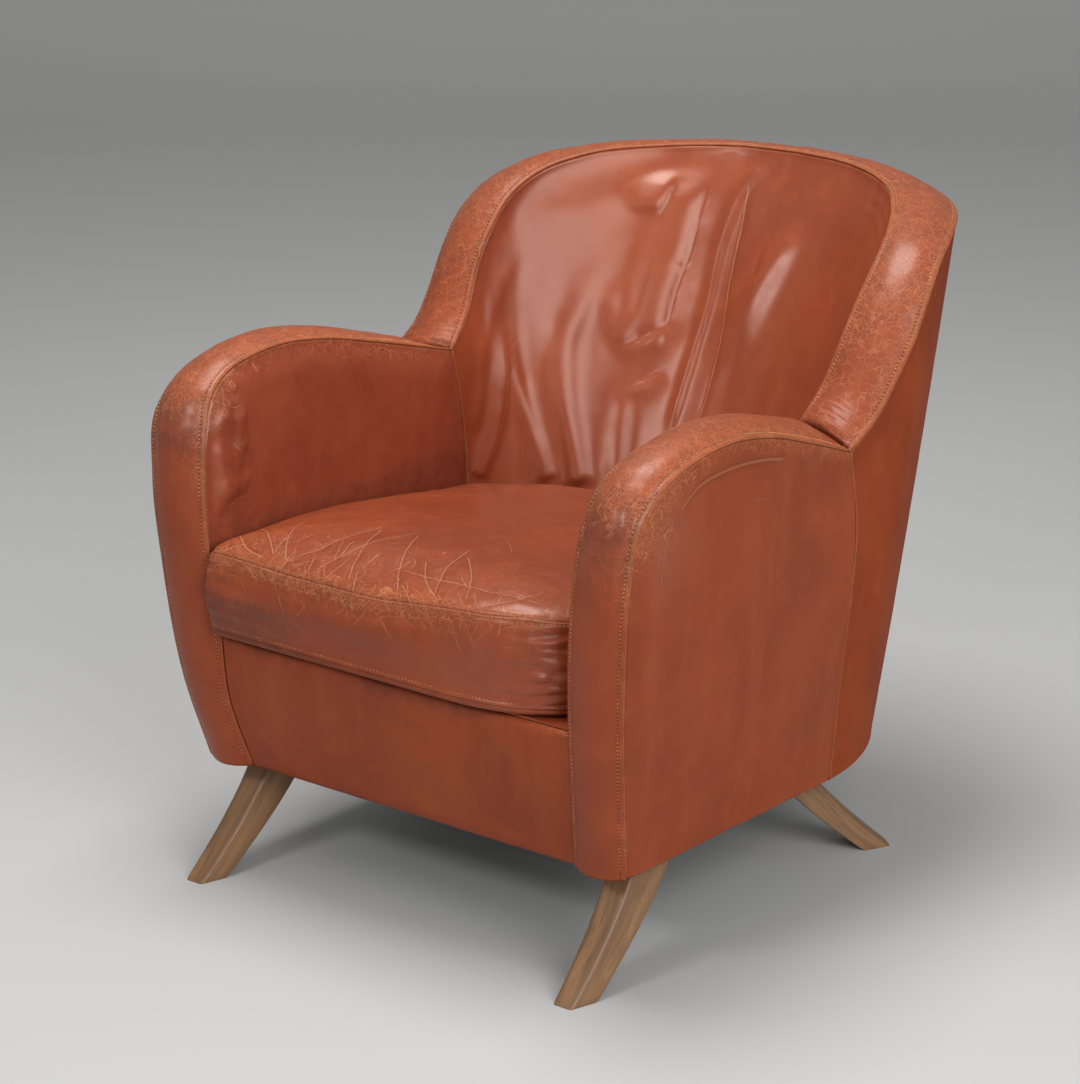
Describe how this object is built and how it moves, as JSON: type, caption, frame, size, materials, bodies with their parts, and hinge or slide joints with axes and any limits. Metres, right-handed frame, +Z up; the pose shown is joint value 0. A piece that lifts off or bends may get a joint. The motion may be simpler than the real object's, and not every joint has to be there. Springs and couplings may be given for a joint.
{
  "type": "club armchair",
  "caption": "Low tub-backed club armchair in worn leather, with padded wrap-over arms, a loose boxed seat cushion and raked wooden legs.",
  "frame": {"origin": "middle of the footprint on the floor", "axes": "+Z up, the chair faces -Y, +X to the right as seen from its front"},
  "size_m": [0.731, 0.8977, 0.8016],
  "materials": {
    "leather": "semi-gloss pull-up leather, worn",
    "oak_stained": "grey-brown stain under satin lacquer",
    "beech": "raw planed",
    "plywood": "raw bent ply",
    "foam": "open-cell cushion foam",
    "fibreboard": "raw hardboard",
    "webbing": "woven elastic",
    "lining_cloth": "non-woven cloth",
    "zinc_steel": "zinc plated"
  },
  "bodies": {
    "root": {"apron_foam": "foam", "arm_band_foam_left": "foam", "arm_band_foam_right": "foam", "arm_band_left": "leather", "arm_band_right": "leather", "arm_inside_foam_left": "foam", "arm_inside_foam_right": "foam", "arm_inside_left": "leather", "arm_inside_right": "leather", "arm_outside_left": "leather", "arm_outside_lining_left": "fibreboard", "arm_outside_lining_right": "fibreboard", "arm_outside_right": "leather", "arm_rail_left": "beech", "arm_rail_right": "beech", "arm_rim_board_left": "plywood", "arm_rim_board_right": "plywood", "back_band": "leather", "back_band_foam": "foam", "back_foam": "foam", "back_hoop": "beech", "back_rim_board": "plywood", "back_strap_1": "webbing", "back_strap_2": "webbing", "cushion_case": "leather", "cushion_core": "foam", "cushion_zip": "zinc_steel", "deck_cover": "leather", "deck_pad": "foam", "dust_cover": "lining_cloth", "front_apron": "leather", "front_block_left": "beech", "front_block_right": "beech", "front_post_left": "beech", "front_post_right": "beech", "front_rail": "beech", "inside_back": "leather", "leg_bolt_front_left": "zinc_steel", "leg_bolt_front_right": "zinc_steel", "leg_bolt_rear_left": "zinc_steel", "leg_bolt_rear_right": "zinc_steel", "leg_front_left": "oak_stained", "leg_front_right": "oak_stained", "leg_rear_left": "oak_stained", "leg_rear_right": "oak_stained", "outside_back": "leather", "outside_back_lining": "fibreboard", "post_spacer_left": "beech", "post_spacer_right": "beech", "rear_block_left": "beech", "rear_block_right": "beech", "rear_post_left": "beech", "rear_post_right": "beech", "rear_rail": "plywood", "seat_rear_rail": "beech", "seat_strap_1": "webbing", "seat_strap_2": "webbing", "seat_strap_3": "webbing", "side_rail_left": "beech", "side_rail_right": "beech"}
  },
  "joints": []
}
